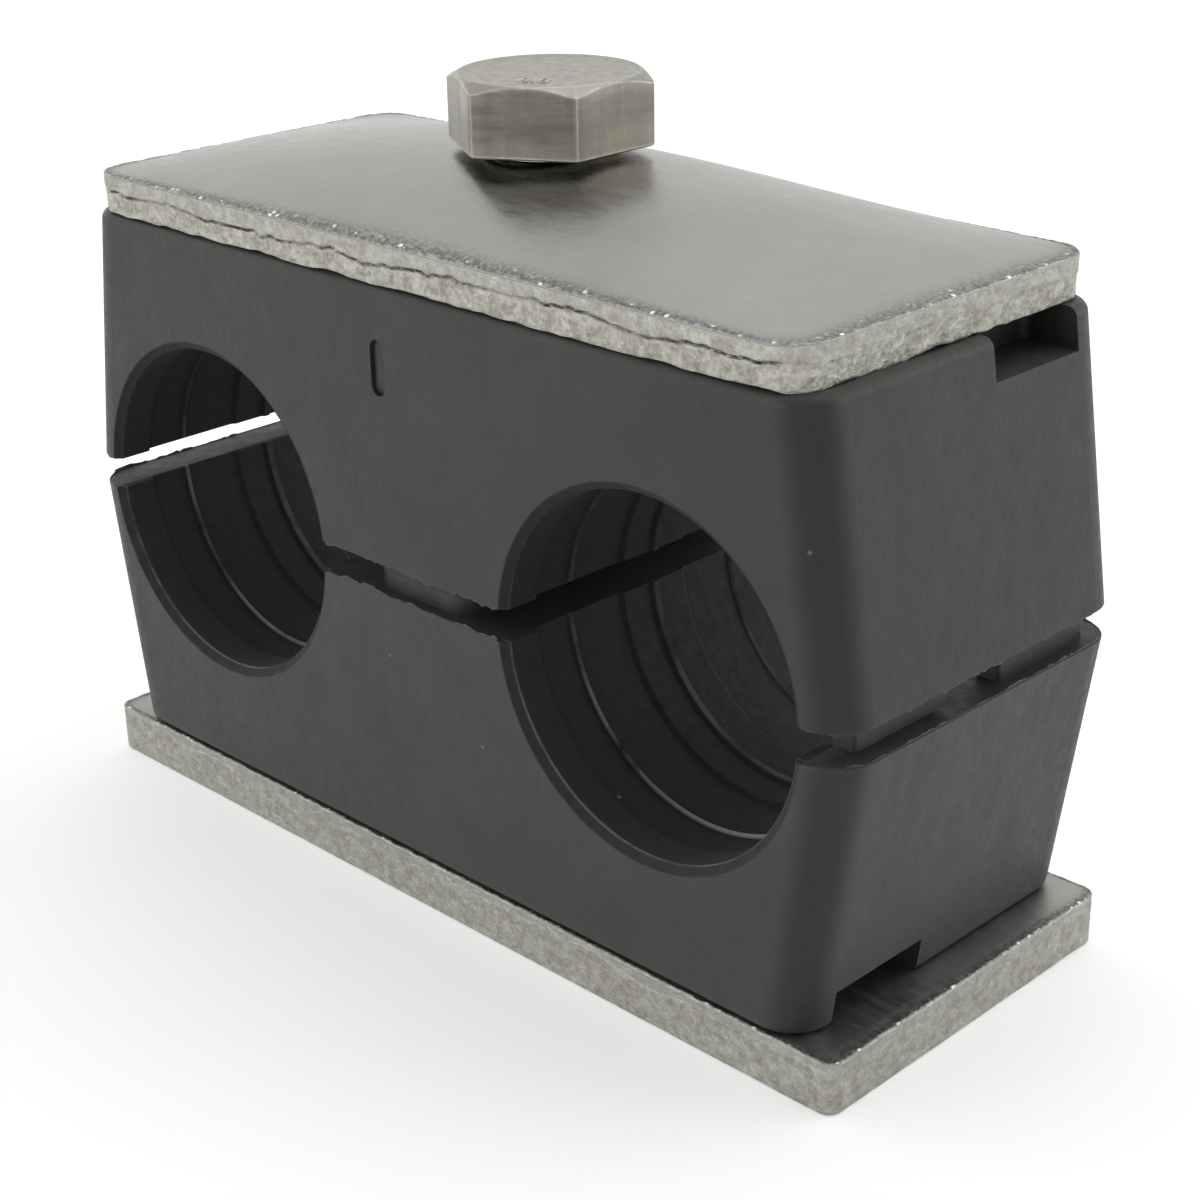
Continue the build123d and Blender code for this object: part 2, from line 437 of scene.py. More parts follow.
def moulded_plastic(settings, name, tone):
    """Dark matt polypropylene: fine spark texture, faint clouds, painted shade in the upright corners
    and tube seats, painted highlights on the seat ribs and lips, and pale edges that are partly wear
    and partly a painted highlight.
    """
    material, tree, shader = new_material(name)
    base = Vector(settings.plastic_colour) * tone
    rubbed_rim_and_highlight = (base[0] * 2.0, base[1] * 2.1, base[2] * 1.8)
    dust = (0.35, 0.34, 0.3)
    clouds = effect(tree, "Grain", scale=160.0, detail=4.0, contrast=0.22)
    mottle = effect(tree, "Grain", scale=1300.0, detail=6.0, contrast=0.22)
    texture = effect(tree, "Grain", scale=3800.0, detail=2.0, contrast=0.3)
    specks = effect(tree, "Specks", scale=420.0, share=0.02, size=0.10)
    edges = effect(tree, "Edge Wear And Highlight", width=0.0003, gain=3.0, patch_scale=1400.0, patchiness=0.6)
    colour = blend_colours(tree, clouds["Mask"], base * 0.76, base * 1.16)
    colour = tinted(tree, colour, mottle["Mask"], 0.45, base * 1.55)

    # Painted shade: rounded upright corners get a darker tone
    normal = add_node(tree, "ShaderNodeNewGeometry").outputs["Normal"]
    facing = add_node(tree, "ShaderNodeSeparateXYZ", {0: normal}).outputs
    turned = math_node(tree, "ABSOLUTE", math_node(tree, "MULTIPLY", facing[0], facing[1]))
    colour = tinted(tree, colour, remap(tree, turned, 0.10, 0.42), 0.75, base * 0.35)

    # Painted shade: tube seats are darker
    place = add_node(tree, "ShaderNodeSeparateXYZ", {0: object_place(tree)}).outputs
    axis_x, _, axis_z = frame["record"]["mounts"][1]["pos_m"]
    across = math_node(tree, "SUBTRACT", math_node(tree, "ABSOLUTE", place[0]), axis_x)
    above = math_node(tree, "SUBTRACT", place[2], axis_z)
    from_axis = add_node(tree, "ShaderNodeCombineXYZ", {0: across, 1: above, 2: 0.0}).outputs[0]
    seat_distance = vector_node(tree, "LENGTH", from_axis)["Value"]
    seat = remap(tree, seat_distance, 13.35 * MM, 13.25 * MM)
    colour = tinted(tree, colour, seat, 0.90, base * 0.60)

    # Painted highlight on the ribs and lips of the seats, brightest on the low side
    along = math_node(tree, "ABSOLUTE", place[1])
    middle = math_node(tree, "MULTIPLY", remap(tree, along, 0.30 * MM, 0.24 * MM), 0.25)
    from_rib = distance_from(tree, along, settings.rib_place)
    crest = remap(tree, from_rib, 0.22 * MM, 0.10 * MM)
    from_lip = distance_from(tree, along, settings.lip_place)
    lip = math_node(tree, "MULTIPLY", remap(tree, from_lip, 0.12 * MM, 0.04 * MM), 0.6)
    ribs = math_node(tree, "ADD", math_node(tree, "ADD", middle, crest, True), lip, True)
    low_side = remap(tree, above, 4.0 * MM, -7.0 * MM, 0.12, 1.0)
    rib = math_node(tree, "MULTIPLY", math_node(tree, "MULTIPLY", seat, ribs), low_side)
    highlighted = math_node(tree, "MULTIPLY", rib, remap(tree, clouds["Height"], 0.36, 0.54))
    # Pale edges outside the seats, partly wear and partly a painted highlight
    outside = math_node(tree, "MULTIPLY", math_node(tree, "SUBTRACT", 1.0, seat), 0.6)
    colour = tinted(tree, colour, edges["Mask"], outside, rubbed_rim_and_highlight)
    colour = tinted(tree, colour, highlighted, 0.9, base * 8.0)
    colour = tinted(tree, colour, specks["Mask"], 0.5, dust)
    tree.links.new(colour, shader.inputs["Base Color"])

    rough = remap(tree, mottle["Height"], 0.3, 0.7, 0.42, 0.60)
    rough = math_node(tree, "ADD", rough, math_node(tree, "MULTIPLY", seat, 0.30), True)
    tree.links.new(rough, shader.inputs["Roughness"])
    normal = bumped(
        tree,
        (
            (clouds["Height"], 0.25, 1.0 * MM),
            (mottle["Height"], 0.25, 0.06 * MM),
            (texture["Height"], 0.25, 0.03 * MM),
        ),
    )
    tree.links.new(normal, shader.inputs["Normal"])
    shader.inputs["Specular IOR Level"].default_value = 0.36
    return material


def sheet_steel(settings, name, tone, scratch_turn, side_contrast, smoothest):
    """Mill sheet: soft roll sheen, faint stains, mottled sheared sides, painted shade on the burred
    margin and in the torn line, painted glints on the burrs, and pale edges that are partly wear and
    partly a painted highlight.
    """
    material, tree, shader = new_material(name)
    base = Vector(settings.steel_colour) * tone
    broken_pale = (base[0] * 1.60, base[1] * 1.61, base[2] * 1.46)
    broken_dark = (base[0] * 0.60, base[1] * 0.58, base[2] * 0.52)
    burr_glint = (0.92, 0.91, 0.85)
    rubbed_edge_and_highlight = (0.80, 0.79, 0.72)
    rolled = effect(tree, "Grain", stretch=(0.3, 1.0, 1.0), scale=1500.0, detail=6.0, contrast=0.25)
    stains = effect(tree, "Grain", scale=85.0, detail=6.0, contrast=0.2)
    skin = effect(tree, "Grain", scale=3200.0, detail=4.0, contrast=0.22)
    blotches = effect(tree, "Grain", scale=1250.0, detail=6.0, contrast=0.14)
    specks = effect(tree, "Specks", scale=700.0, share=0.05, size=0.14)
    dots = effect(tree, "Specks", scale=1700.0, share=0.30, size=0.36)
    lines = effect(tree, "Hairlines", turn=scratch_turn, scale=2600.0, amount=0.5)
    edges = effect(tree, "Edge Wear And Highlight", width=0.0002, gain=5.0, patch_scale=1500.0, patchiness=1.0)
    sheared = mark_value(tree, "sheared")
    burred = mark_value(tree, "burred")
    torn = mark_value(tree, "torn_line")

    # Flat of the sheet
    colour = blend_colours(tree, stains["Mask"], base * 0.88, base * 1.08)
    colour = tinted(tree, colour, rolled["Mask"], 0.35, base * 1.12)
    colour = tinted(tree, colour, specks["Mask"], 0.25, base * 0.5)
    # Sheared sides, then painted shade on the burred margin and in the torn line, and painted glints on
    # the burrs
    coarse = blend_colours(tree, blotches["Mask"], broken_dark, broken_pale)
    fine = blend_colours(tree, skin["Mask"], broken_dark, broken_pale)
    side = blend_colours(tree, 0.5, coarse, fine)
    colour = tinted(tree, colour, sheared, side_contrast, side, True)
    # Painted shade: the burred margin is darker
    margin = math_node(tree, "MULTIPLY", burred, remap(tree, skin["Height"], 0.36, 0.58), True)
    colour = tinted(tree, colour, margin, 0.85, base * 0.28)
    # Painted shade in the torn line
    colour = tinted(tree, colour, torn, 1.1, base * 0.22, True)
    # Painted glints: bright dots on the burred margin
    lip = math_node(tree, "MULTIPLY", remap(tree, burred, 0.55, 0.9), dots["Mask"])
    colour = tinted(tree, colour, lip, 0.9, burr_glint)
    # Pale edges, partly wear and partly a painted highlight
    colour = tinted(tree, colour, edges["Mask"], 0.8, rubbed_edge_and_highlight)
    tree.links.new(colour, shader.inputs["Base Color"])

    sheen = remap(tree, rolled["Height"], 0.3, 0.7, smoothest, smoothest + 0.12)
    rough = add_node(tree, "ShaderNodeMix", {0: sheared, 2: sheen, 3: 0.52}).outputs[0]
    rough = math_node(tree, "ADD", rough, math_node(tree, "MULTIPLY", burred, 0.15), True)
    tree.links.new(rough, shader.inputs["Roughness"])
    torn_height = math_node(tree, "MULTIPLY", blotches["Height"], sheared)
    margin_height = math_node(tree, "MULTIPLY", skin["Height"], burred)
    normal = bumped(
        tree,
        (
            (stains["Height"], 0.25, 0.5 * MM),
            (rolled["Height"], 0.30, 0.04 * MM),
            (skin["Height"], 0.20, 0.03 * MM),
            (lines["Mask"], 0.2, 0.02 * MM),
            (margin_height, 0.5, 0.15 * MM),
            (torn_height, 0.8, 0.35 * MM),
        ),
    )
    tree.links.new(normal, shader.inputs["Normal"])
    shader.inputs["Metallic"].default_value = 1.0
    return material


def bolt_steel(settings, name, tone, streak):
    """Plated bolt steel: yellowish cast in patches, die streaks on the flats, painted shade on the
    head's flats, and bright edges that are partly wear and partly a painted highlight.
    """
    material, tree, shader = new_material(name)
    base = Vector(settings.bolt_colour) * tone
    yellow = (base[0] * 1.10, base[1] * 1.05, base[2] * 0.82)
    shaded_flat_dark = (base[0] * 0.33, base[1] * 0.30, base[2] * 0.27)
    shaded_flat_pale = (base[0] * 0.78, base[1] * 0.72, base[2] * 0.64)
    rubbed_edge_and_highlight = (0.82, 0.79, 0.65)
    streaks = effect(tree, "Grain", stretch=(1.0, 1.0, streak), scale=1300.0, detail=6.0, contrast=0.22)
    patches = effect(tree, "Grain", scale=260.0, detail=5.0, contrast=0.16)
    skin = effect(tree, "Grain", scale=3000.0, detail=4.0, contrast=0.3)
    bands = effect(tree, "Grain", stretch=(0.15, 0.15, 1.0), scale=900.0, detail=5.0, contrast=0.2)
    specks = effect(tree, "Specks", scale=1500.0, share=0.12, size=0.28)
    edges = effect(tree, "Edge Wear And Highlight", width=0.00036, gain=8.0, patch_scale=2000.0, patchiness=0.35)
    flats = mark_value(tree, "flats")

    colour = blend_colours(tree, patches["Mask"], base, yellow)
    # Painted shade: darker, banded flats, paler toward their foot
    shaded_flats = blend_colours(tree, bands["Mask"], shaded_flat_dark, shaded_flat_pale)
    shaded_flats = tinted(tree, shaded_flats, mark_value(tree, "flat_foot"), 0.45, base * 0.9)
    colour = blend_colours(tree, flats, colour, shaded_flats)
    colour = tinted(tree, colour, streaks["Mask"], 0.35, base * 0.45)
    colour = tinted(tree, colour, specks["Mask"], 0.5, base * 0.4)
    # Bright edges, partly wear and partly a painted highlight
    colour = tinted(tree, colour, edges["Mask"], 0.75, rubbed_edge_and_highlight)
    tree.links.new(colour, shader.inputs["Base Color"])

    sheen = remap(tree, streaks["Height"], 0.3, 0.7, 0.26, 0.42)
    sheen = math_node(tree, "ADD", sheen, math_node(tree, "MULTIPLY", flats, 0.12))
    tree.links.new(sheen, shader.inputs["Roughness"])
    normal = bumped(
        tree,
        (
            (patches["Height"], 0.3, 0.3 * MM),
            (streaks["Height"], 0.5, 0.08 * MM),
            (skin["Height"], 0.3, 0.04 * MM),
        ),
    )
    tree.links.new(normal, shader.inputs["Normal"])
    shader.inputs["Metallic"].default_value = 1.0
    return material


# Pieces


def build_cover_sheet(settings):
    """Crowned cover sheet over the upper half, open in the middle for the bolt."""
    low, _, size = size_of("cover_plate")
    half_x, half_y = size.x / 2, size.y / 2
    thickness = settings.cover_thickness
    hole = settings.cover_hole / 2
    crown = (size.z - thickness) / (1 - (hole / half_x) ** 2)
    rim = settings.cover_rim

    def crown_height(x, y, reach_x, reach_y):
        return crown * max(0.0, 1 - (x / reach_x) ** 2) * max(0.0, 1 - (y / reach_y) ** 2)

    def top_rise(x, y):
        return crown_height(x, y, half_x, half_y)

    def under_rise(x, y):
        return crown_height(x, y, half_x - rim, half_y - rim)

    cut = {
        "roll": 0.20 * MM,
        "band": 0.9 * MM,
        "foot": 0.15 * MM,
        "ragged": 0.22 * MM,
        "broken_share": 0.55,
        "break_depth": 0.05 * MM,
        "break_grain": 0.11 * MM,
        "crack_depth": 0.24 * MM,
        "torn": 1.0,
        "drag": 0.03 * MM,
        "burr": 0.10 * MM,
    }
    outline = rounded_outline(half_x, half_y, settings.cover_corner, 0.30 * MM)
    piece = sheared_sheet("cover_sheet", outline, hole, low.z, thickness, top_rise, under_rise, cut)
    set_material(piece, sheet_steel(settings, "cover_sheet_steel", 0.92, 0.5, 1.0, 0.24))
    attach(piece, "cover")
    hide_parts("cover_plate")


def build_base_sheet(settings):
    """Flat weld plate under the lower half, open in the middle for the collar of the nut."""
    low, _, size = size_of("weld_plate")
    cut = {
        "roll": 0.20 * MM,
        "band": 0.5 * MM,
        "foot": 0.12 * MM,
        "ragged": 0.05 * MM,
        "broken_share": 0.80,
        "break_depth": 0.0,
        "break_grain": 0.05 * MM,
        "crack_depth": 0.0,
        "torn": 0.0,
        "drag": 0.05 * MM,
        "burr": 0.12 * MM,
    }

    def flat(x, y):
        return 0.0

    hole = settings.base_hole / 2
    outline = rounded_outline(size.x / 2, size.y / 2, settings.base_corner, 0.32 * MM)
    piece = sheared_sheet("base_sheet", outline, hole, low.z, size.z, flat, flat, cut)
    set_material(piece, sheet_steel(settings, "base_sheet_steel", 0.92, -0.4, 0.75, 0.36))
    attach(piece, "base")
    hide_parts("weld_plate")


def thread_levels(start, tip, pitch):
    """Heights of the rings of a thread, from its start down to the tip of the bolt."""
    rings_per_pitch, least_gap = 10, 0.02 * MM
    levels = []
    z = start
    while z > tip + least_gap:
        levels.append(z)
        z -= pitch / rings_per_pitch
    return levels + [tip]


def build_clamp_bolt(settings):
    """Hex bolt: forged head with rounded corners and chamfered crown, and a rolled thread."""
    low, high, _ = size_of("hex_bolt")
    across = settings.head_across_flats / 2
    top, tip = high.z, low.z
    seat = top - settings.head_height
    under = seat + settings.washer_height
    flat_radius = across - 0.15 * MM
    washer_radius = settings.washer_diameter / 2
    shank_radius = settings.thread_diameter / 2
    corner_limit = across / math.cos(math.radians(30)) - 0.09 * MM
    corner_blend = 0.075 * MM
    chamfer_slope = math.tan(math.radians(30))
    dish = 0.08 * MM
    edge_drop, foot_lift, foot_inset = 0.06 * MM, 0.12 * MM, 0.12 * MM
    washer_round, neck_round = 0.05 * MM, 0.35 * MM
    steps = 120

    def hexagon(angle):
        """Distance of the head's outline at an angle, with its corners rounded off."""
        turned = (angle - math.radians(30)) % math.radians(60) - math.radians(30)
        sharp = across / math.cos(turned)
        blend = max(corner_blend - abs(corner_limit - sharp), 0.0) / corner_blend
        return min(corner_limit, sharp) - blend * blend * corner_blend / 4

    # Head, with its corners at 30 degrees and every 60 degrees from there
    rows, flat_shade_marks, foot_marks = [], [], []
    flat_shade_tones = (0.62, 0.95, 0.55, 0.80, 0.30, 1.0)
    for step in range(steps):
        angle = 2 * math.pi * step / steps
        c, s = math.cos(angle), math.sin(angle)
        edge = hexagon(angle)
        crown = top - max(0.0, edge - flat_radius) * chamfer_slope
        side_top, side_foot = crown - edge_drop, under + foot_lift
        row = [(flat_radius * t, top - dish) for t in (0.0, 0.35, 0.65, 0.86)]
        row.append((flat_radius * 0.93, top - 0.4 * dish))
        row.append((flat_radius, top))
        row += [
            (flat_radius + (edge - flat_radius) * t, top + (crown - top) * t) for t in (0.4, 0.8)
        ]
        row.append((edge - 0.02 * MM, crown - 0.005 * MM))
        row.append((edge, side_top))
        row += [(edge, side_top + (side_foot - side_top) * t) for t in (0.3, 0.65, 1.0)]
        row.append((edge - foot_inset, under))
        row.append((washer_radius, under))
        row.append((washer_radius, seat + washer_round))
        row.append((washer_radius - washer_round, seat))
        row.append((shank_radius + neck_round, seat))
        row.append((shank_radius, seat - neck_round))
        rows.append([(r * c, r * s, z) for r, z in row])
        # Painted shade: each flat gets a tone of its own
        side = int((math.degrees(angle) + 30) % 360 // 60)
        flat_shade_marks.append([flat_shade_tones[side] if 8 <= j <= 12 else 0.0 for j in range(len(row))])
        foot_marks.append([1.0 if 12 <= j <= 13 else 0.0 for j in range(len(row))])

    # Rolled thread from below the head to the point
    pitch = settings.thread_pitch
    depth = 0.6134 * pitch
    plain_end = seat - 1.2 * MM
    point = 1.0 * MM
    levels = thread_levels(plain_end, tip, pitch)
    for step in range(steps):
        angle = 2 * math.pi * step / steps
        c, s = math.cos(angle), math.sin(angle)
        for z in levels:
            phase = (z / pitch - angle / (2 * math.pi)) * 2 * math.pi
            valley = 0.5 - 0.5 * math.cos(phase)
            grown = smoothstep(plain_end, plain_end - 1.5 * pitch, z)
            radius = shank_radius - depth * grown * smoothstep(0.12, 0.92, valley)
            radius = min(radius, shank_radius - point * (1 - min(1.0, (z - tip) / point)))
            rows[step].append((radius * c, radius * s, z))
        rows[step].append((0.0, 0.0, tip))

    count = len(rows[0])
    marks = {
        name: [value for row in column for value in row + [0.0] * (count - len(row))]
        for name, column in (("flats", flat_shade_marks), ("flat_foot", foot_marks))
    }
    vertices = [place for row in rows for place in row]
    faces = []
    for i in range(steps):
        here, there = i * count, (i + 1) % steps * count
        for j in range(count - 1):
            faces.append((here + j, there + j, there + j + 1, here + j + 1))
    sharp_angle = 24
    piece = mesh_object("clamp_bolt", vertices, faces, sharp_angle, marks)
    # The points on the axis become one
    build = bmesh.new()
    build.from_mesh(piece.data)
    bmesh.ops.remove_doubles(build, verts=build.verts, dist=1e-7)
    bmesh.ops.recalc_face_normals(build, faces=build.faces)
    build.to_mesh(piece.data)
    build.free()
    piece.data.set_sharp_from_angle(angle=math.radians(sharp_angle))
    steel = bolt_steel(settings, "clamp_bolt_steel", 1.0, 0.18)
    set_material(piece, steel)
    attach(piece, "bolt")
    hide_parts("hex_bolt")

    mark = head_mark(settings.head_mark, top - 0.55 * dish, 0.4 * dish)
    set_material(mark, steel)
    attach(mark, "bolt")


def head_mark(letters, level, height):
    """Strength class raised on the head near its front flat."""
    text = bpy.data.curves.new("head_mark", "FONT")
    text.body = letters
    text.size = 1.9 * MM
    text.extrude = height
    text.resolution_u = 3
    text.align_x, text.align_y = "CENTER", "CENTER"
    holder = bpy.data.objects.new("head_mark_text", text)
    bpy.context.scene.collection.objects.link(holder)
    bpy.context.view_layer.update()
    evaluated = holder.evaluated_get(bpy.context.evaluated_depsgraph_get())
    mesh = bpy.data.meshes.new_from_object(evaluated)
    bpy.data.objects.remove(holder)
    facing, from_axis = math.radians(-60), 3.7 * MM
    place = Vector((from_axis * math.cos(facing), from_axis * math.sin(facing), level))
    mesh.transform(Matrix.Translation(place) @ Matrix.Rotation(facing + math.pi / 2, 4, "Z"))
    mark = bpy.data.objects.new("head_mark", mesh)
    bpy.context.scene.collection.objects.link(mark)
    return mark


def bar_faces(start, steps):
    """Faces of a closed three-sided bar whose sections of three points follow each other."""
    faces = []
    for step in range(steps):
        here, there = start + 3 * step, start + 3 * (step + 1)
        for j in range(3):
            k = (j + 1) % 3
            faces.append((here + j, there + j, there + k, here + k))
    last = start + 3 * steps
    return faces + [(start, start + 1, start + 2), (last + 2, last + 1, last)]


def flash_fin(name, paths, level, rise, body):
    """Thin ragged fins of plastic left along the parting edges; rise points away from the moulding."""
    out, inside, lean, sunk = 0.02 * MM, 0.16 * MM, 0.05 * MM, 0.05 * MM
    root = level - math.copysign(sunk, rise)
    vertices, faces = [], []
    for path in paths:
        start = len(vertices)
        for x, y, nx, ny in path:
            coarse, fine = ripple(x, y, level, 1.6 * MM, 4.1), ripple(x, y, level, 0.5 * MM, 9.7)
            wave = 0.5 * coarse + 0.5 * fine
            height = rise * (0.20 + max(0.0, wave + 0.05) * 1.7)
            vertices.append((x - nx * out, y - ny * out, root))
            vertices.append((x - nx * (out + lean), y - ny * (out + lean), level + height))
            vertices.append((x - nx * inside, y - ny * inside, root))
        faces += bar_faces(start, len(path) - 1)
    piece = mesh_object(name, vertices, faces, 30)
    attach(piece, body)
    return piece


def build_flash(settings, lower_plastic, upper_plastic):
    """Flash along the parting edges of both halves, away from the tube seats and the middle pads."""
    low, _, size = size_of("lower_clamp_half")
    clear, steps = 0.25 * MM, 50
    seat_x = frame["record"]["mounts"][1]["pos_m"][0]
    reach = seat_x + settings.seat_mouth / 2 + clear
    inner = seat_x - settings.seat_mouth / 2 - clear
    half_x, half_y = size.x / 2 - 0.05 * MM, size.y / 2
    outline = rounded_outline(half_x, half_y, settings.end_corner, 0.35 * MM)
    right_path = sorted(
        (place for place in outline if place[0] > reach),
        key=lambda place: math.atan2(place[1], place[0] - reach + 3 * MM),
    )
    left_path = [(-x, -y, -nx, -ny) for x, y, nx, ny in right_path]
    front = [(-inner + 2 * inner * i / steps, -half_y, 0.0, -1.0) for i in range(steps + 1)]
    back = [(-x, -y, 0.0, 1.0) for x, y, _, _ in front]
    paths = (right_path, left_path, front, back)
    lower_level = settings.lower_parting
    upper_level = size_of("upper_clamp_half")[1].z + low.z - lower_level
    lower = flash_fin("lower_flash", paths, lower_level, 0.30 * MM, "base")
    upper = flash_fin("upper_flash", paths, upper_level, -0.30 * MM, "lid")
    set_material(lower, lower_plastic)
    set_material(upper, upper_plastic)


def seat_ribs(name, turn_from, turn_to, body, settings, plastic):
    """Fine raised ribs round the tube seats of one half, two in each seat."""
    seat_x, _, seat_z = frame["record"]["mounts"][1]["pos_m"]
    floor_radius, crest_radius, half_width = 13.24 * MM, 12.92 * MM, 0.24 * MM
    section = ((floor_radius, -half_width), (crest_radius, 0.0), (floor_radius, half_width))
    steps = 60
    vertices, faces = [], []
    for side, end in ((-1, -1), (-1, 1), (1, -1), (1, 1)):
        faces += bar_faces(len(vertices), steps)
        for step in range(steps + 1):
            angle = math.radians(turn_from + (turn_to - turn_from) * step / steps)
            c, s = math.cos(angle), math.sin(angle)
            for radius, offset in section:
                y = end * settings.rib_place + offset
                vertices.append((side * seat_x + radius * c, y, seat_z + radius * s))
    piece = mesh_object(name, vertices, faces, 30)
    set_material(piece, plastic)
    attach(piece, body)


def slot_floor(name, x, y, z, out, body, plastic):
    """Raised floor of the small upright slot, a pill with a domed face, facing out along Y."""
    half_width, half_length, steps = 0.66 * MM, 1.96 * MM, 12
    levels = ((1.0, -0.25 * MM), (1.0, 0.0), (0.7, 0.07 * MM), (0.35, 0.10 * MM))
    crest = 0.11 * MM
    ring = []
    for side in (1, -1):
        centre = side * (half_length - half_width)
        for step in range(steps + 1):
            angle = math.radians(180 * step / steps - (0 if side > 0 else 180))
            ring.append((half_width * math.cos(angle), centre + half_width * math.sin(angle)))
    count = len(ring)
    vertices, faces = [], []
    for share, depth in levels:
        vertices += [(x + px * share, y + out * depth, z + pz * share) for px, pz in ring]
    vertices.append((x, y + out * crest, z))
    for level in range(len(levels) - 1):
        for i in range(count):
            k = (i + 1) % count
            here, above = level * count, (level + 1) * count
            faces.append((here + i, here + k, above + k, above + i))
    last = (len(levels) - 1) * count
    faces += [(last + i, last + (i + 1) % count, len(vertices) - 1) for i in range(count)]
    faces.append(tuple(range(count)))
    piece = mesh_object(name, vertices, faces, 40)
    set_material(piece, plastic)
    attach(piece, body)


# Settings of the add-on


def length(name, description, millimetres):
    default = millimetres * MM
    return FloatProperty(name=name, description=description, default=default, unit="LENGTH")


def colour_of(name, description, default):
    return FloatVectorProperty(
        name=name, description=description, default=default, min=0, max=1, subtype="COLOR"
    )


class ClampSettings(bpy.types.PropertyGroup):
    """Sizes and colours of the clamp that a user may change."""

    plastic_colour: colour_of("Plastic", "Colour of the moulded halves", (0.039, 0.0388, 0.037))
    steel_colour: colour_of("Sheet Steel", "Colour of both steel plates", (0.37, 0.365, 0.35))
    bolt_colour: colour_of("Bolt Steel", "Colour of the bolt and nut", (0.315, 0.31, 0.29))
    rib_place: length("Rib Place", "Distance of the seat ribs from the middle of the seat", 8.2)
    lip_place: length("Lip Place", "Distance of the rubbed lip of a seat from its middle", 14.45)
    seat_mouth: length("Seat Mouth", "Width of a tube seat at its chamfered mouth", 26.4)
    end_corner: length("End Corner", "Corner radius of the halves", 3.2)
    lower_parting: length("Lower Parting Level", "Height of the lower half's parting face", 24.4)
    slot_offset: length("Slot Offset", "Place of the upright slot along the clamp", -2.0)
    slot_from_side: length("Slot Height", "Height of the slot's middle from the plate side", 5.8)
    slot_floor_depth: length("Slot Floor Depth", "Depth of the slot's floor in the long side", 0.32)
    cover_thickness: length("Cover Thickness", "Thickness of the cover sheet", 3.0)
    cover_hole: length("Cover Hole", "Diameter of the bolt hole in the cover sheet", 9.0)
    cover_corner: length("Cover Corner", "Corner radius of the cover sheet", 2.8)
    cover_rim: length("Cover Rim", "Width of the flat rim under the crown", 1.5)
    base_corner: length("Base Corner", "Corner radius of the weld plate", 1.1)
    base_hole: length("Base Hole", "Diameter of the hole round the nut's collar", 11.1)
    head_across_flats: length("Across Flats", "Width of the hex head across its flats", 13.0)
    head_height: length("Head Height", "Height of the hex head", 5.3)
    washer_diameter: length("Washer Face", "Diameter of the face under the head", 10.0)
    washer_height: length("Washer Face Height", "Height of the face under the head", 0.4)
    thread_diameter: length("Thread", "Outer diameter of the bolt thread", 8.0)
    thread_pitch: length("Pitch", "Advance of the thread in one turn", 1.25)
    head_mark: StringProperty(
        name="Head Mark", description="Strength class raised on the head", default="8.8"
    )


class StageSettings(bpy.types.PropertyGroup):
    """Floor, lamps and world of the studio."""

    floor_colour: colour_of("Floor", "Colour of the floor", (0.80, 0.80, 0.80))
    floor_glow: FloatProperty(
        name="Floor Glow", description="Light that the floor adds where the background is seen",
        default=0.40, min=0,
    )
    lamp_level: FloatProperty(
        name="Lamp Level", description="Share that scales every lamp",
        default=1.0, min=0, subtype="FACTOR",
    )
    sky_far: FloatProperty(
        name="Sky Far", description="Brightness of the world behind the object", default=1.0, min=0
    )
    sky_near: FloatProperty(
        name="Sky Near", description="Brightness of the world in front of the object",
        default=0.18, min=0,
    )
    floor_side: IntProperty(
        name="Floor Size", description="Side of the floor in metres", default=60, min=1
    )


# Operators


class CLAMP_OT_moulded_halves(bpy.types.Operator):
    """Dress the two moulded halves in dark plastic"""

    bl_idname = "tube_clamp.moulded_halves"
    bl_label = "Moulded Halves"

    def execute(self, context):
        settings = context.scene.tube_clamp
        # Lit and shaded copies of one plastic: the lower half's higher tone is painted light
        lower_plastic = moulded_plastic(settings, "lower_half_plastic", 1.18)
        upper_plastic = moulded_plastic(settings, "upper_half_plastic", 0.96)
        set_material(frame["nodes"]["lower_clamp_half"], lower_plastic)
        set_material(frame["nodes"]["upper_clamp_half"], upper_plastic)
        build_flash(settings, lower_plastic, upper_plastic)
        seat_ribs("lower_seat_ribs", 186, 354, "base", settings, lower_plastic)
        seat_ribs("upper_seat_ribs", 6, 174, "lid", settings, upper_plastic)
        lower_low, lower_high, _ = size_of("lower_clamp_half")
        upper_low, upper_high, _ = size_of("upper_clamp_half")
        sunk, rise, x = settings.slot_floor_depth, settings.slot_from_side, settings.slot_offset
        lower_y, lower_z = lower_high.y - sunk, lower_low.z + rise
        upper_y, upper_z = upper_low.y + sunk, upper_high.z - rise
        slot_floor("lower_slot_floor", x, lower_y, lower_z, 1, "base", lower_plastic)
        slot_floor("upper_slot_floor", x, upper_y, upper_z, -1, "lid", upper_plastic)
        return {"FINISHED"}


class CLAMP_OT_cover_sheet(bpy.types.Operator):
    """Build the crowned cover sheet"""

    bl_idname = "tube_clamp.cover_sheet"
    bl_label = "Cover Sheet"

    def execute(self, context):
        build_cover_sheet(context.scene.tube_clamp)
        return {"FINISHED"}


class CLAMP_OT_base_sheet(bpy.types.Operator):
    """Build the weld plate"""

    bl_idname = "tube_clamp.base_sheet"
    bl_label = "Weld Plate"

    def execute(self, context):
        build_base_sheet(context.scene.tube_clamp)
        return {"FINISHED"}


class CLAMP_OT_clamp_bolt(bpy.types.Operator):
    """Build the hex bolt and dress the nut"""

    bl_idname = "tube_clamp.clamp_bolt"
    bl_label = "Bolt and Nut"

    def execute(self, context):
        settings = context.scene.tube_clamp
        build_clamp_bolt(settings)
        set_material(frame["nodes"]["weld_nut"], bolt_steel(settings, "weld_nut_steel", 0.8, 0.3))
        return {"FINISHED"}


def background_rays(tree):
    """1 for the rays that see the background directly, in a gloss or through glass."""
    path = add_node(tree, "ShaderNodeLightPath").outputs
    seen = math_node(tree, "ADD", path["Is Camera Ray"], path["Is Glossy Ray"], True)
    return math_node(tree, "ADD", seen, path["Is Transmission Ray"], True)


